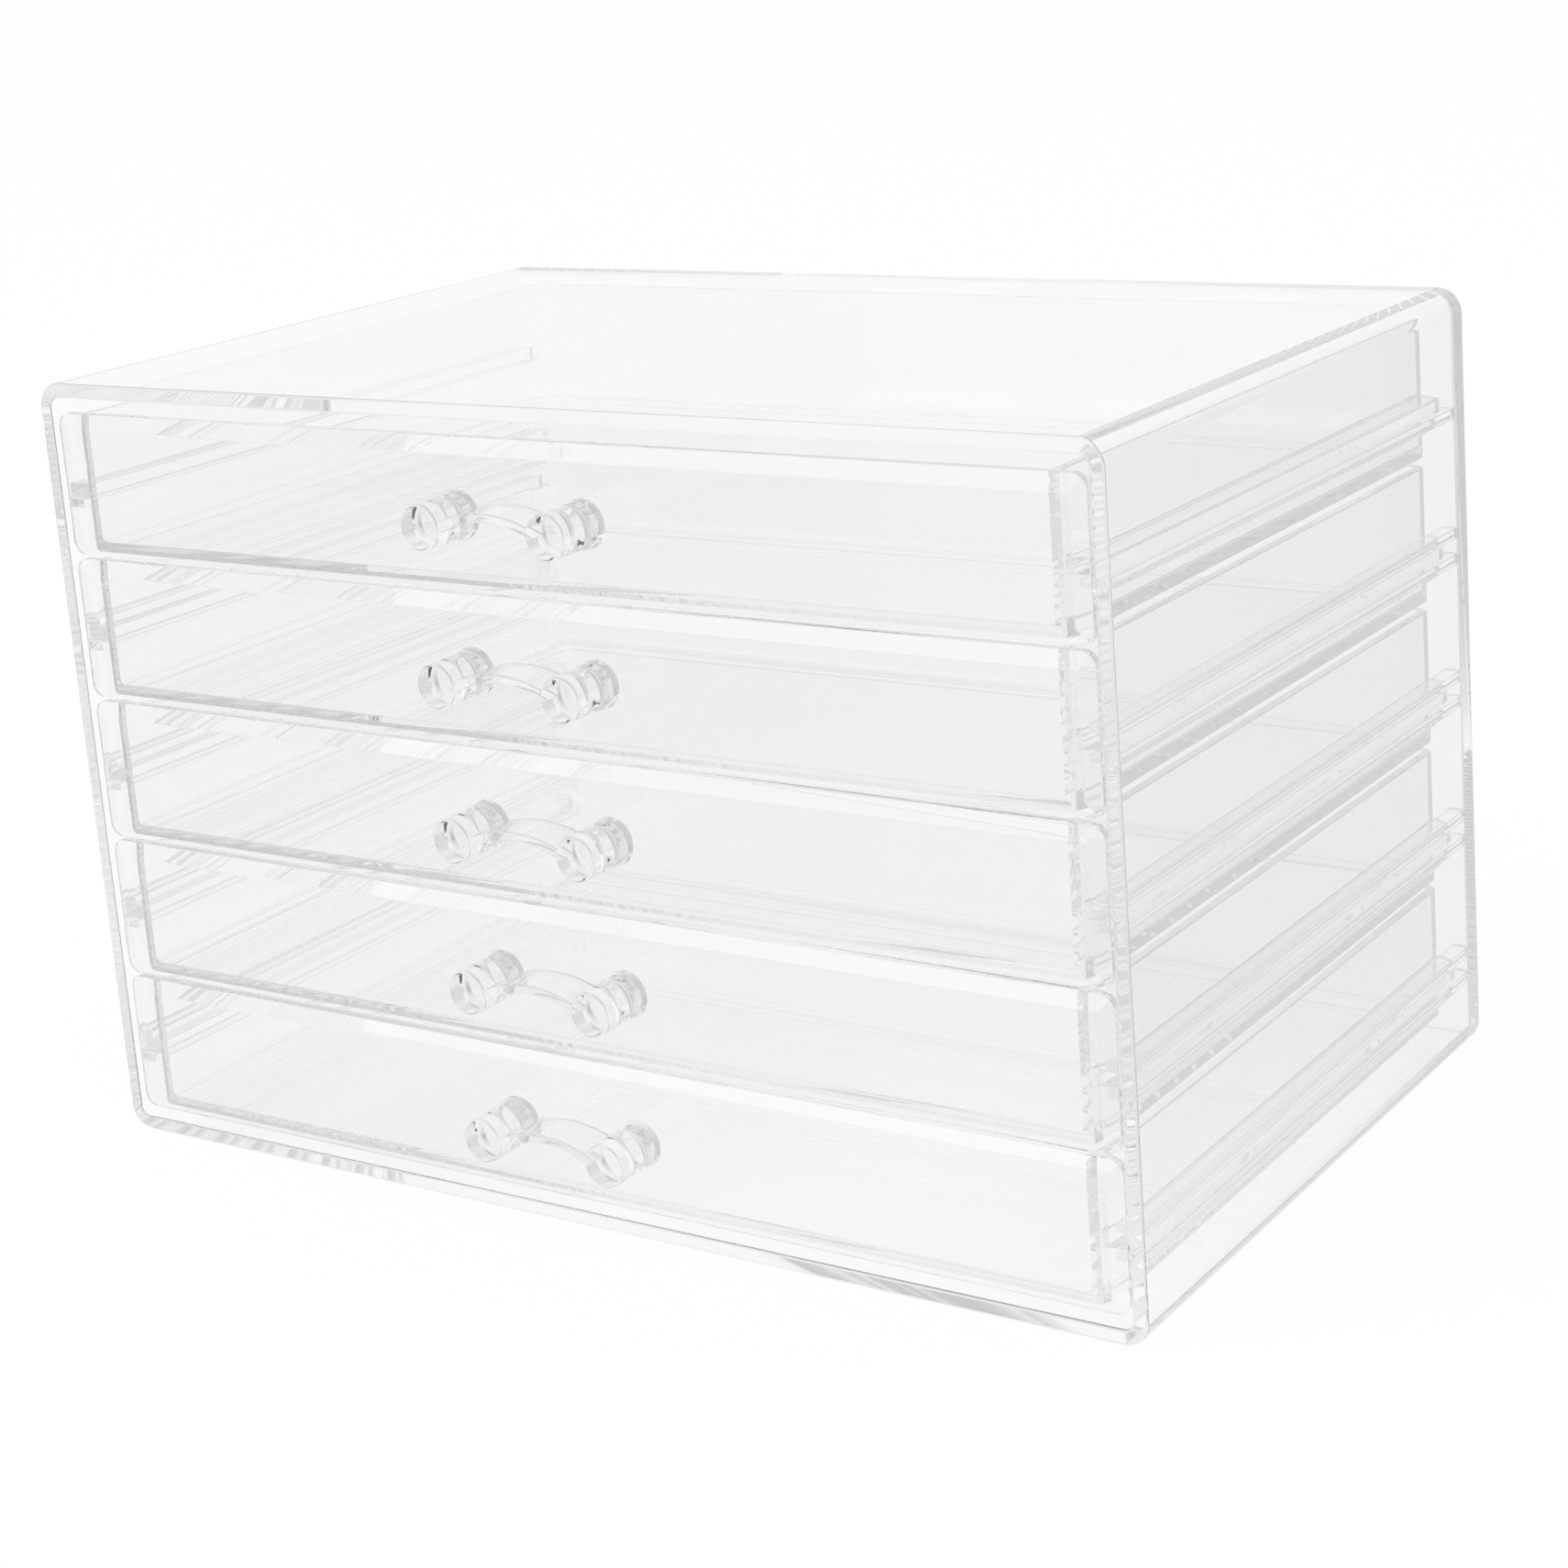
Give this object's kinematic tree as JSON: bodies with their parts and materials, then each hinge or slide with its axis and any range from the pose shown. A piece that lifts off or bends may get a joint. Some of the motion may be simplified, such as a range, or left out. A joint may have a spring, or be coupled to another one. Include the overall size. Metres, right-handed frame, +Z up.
{
  "type": "acrylic drawer box",
  "caption": "Clear acrylic desktop box with shallow full-width drawers that slide out to the front on side rails, each with a small clear bridge handle.",
  "frame": {"origin": "under the middle of the whole box's bounding box, on the surface that the box stands on", "axes": "+X along the width, to the right seen from the front; +Y from the drawer fronts towards the closed back, so the drawers pull out along -Y; +Z up"},
  "size_m": [0.24, 0.163, 0.159],
  "materials": {
    "clear_case": "clear colourless moulded acrylic, glossy",
    "clear_tray": "clear colourless moulded acrylic, glossy",
    "clear_front": "clear colourless moulded acrylic, high gloss",
    "clear_handle": "clear colourless moulded acrylic, high gloss"
  },
  "bodies": {
    "case": {"case_shell": "clear_case"},
    "drawer_1": {"drawer_tray_1": "clear_tray", "drawer_front_1": "clear_front", "drawer_handle_1": "clear_handle"},
    "drawer_2": {"drawer_tray_2": "clear_tray", "drawer_front_2": "clear_front", "drawer_handle_2": "clear_handle"},
    "drawer_3": {"drawer_tray_3": "clear_tray", "drawer_front_3": "clear_front", "drawer_handle_3": "clear_handle"},
    "drawer_4": {"drawer_tray_4": "clear_tray", "drawer_front_4": "clear_front", "drawer_handle_4": "clear_handle"},
    "drawer_5": {"drawer_tray_5": "clear_tray", "drawer_front_5": "clear_front", "drawer_handle_5": "clear_handle"}
  },
  "joints": [
    {"name": "drawer_1_slide", "type": "slide", "parent": "case", "child": "drawer_1", "axis": [0, -1, 0], "range_m": [0, 0.12]},
    {"name": "drawer_2_slide", "type": "slide", "parent": "case", "child": "drawer_2", "axis": [0, -1, 0], "range_m": [0, 0.12]},
    {"name": "drawer_3_slide", "type": "slide", "parent": "case", "child": "drawer_3", "axis": [0, -1, 0], "range_m": [0, 0.12]},
    {"name": "drawer_4_slide", "type": "slide", "parent": "case", "child": "drawer_4", "axis": [0, -1, 0], "range_m": [0, 0.12]},
    {"name": "drawer_5_slide", "type": "slide", "parent": "case", "child": "drawer_5", "axis": [0, -1, 0], "range_m": [0, 0.12]}
  ]
}
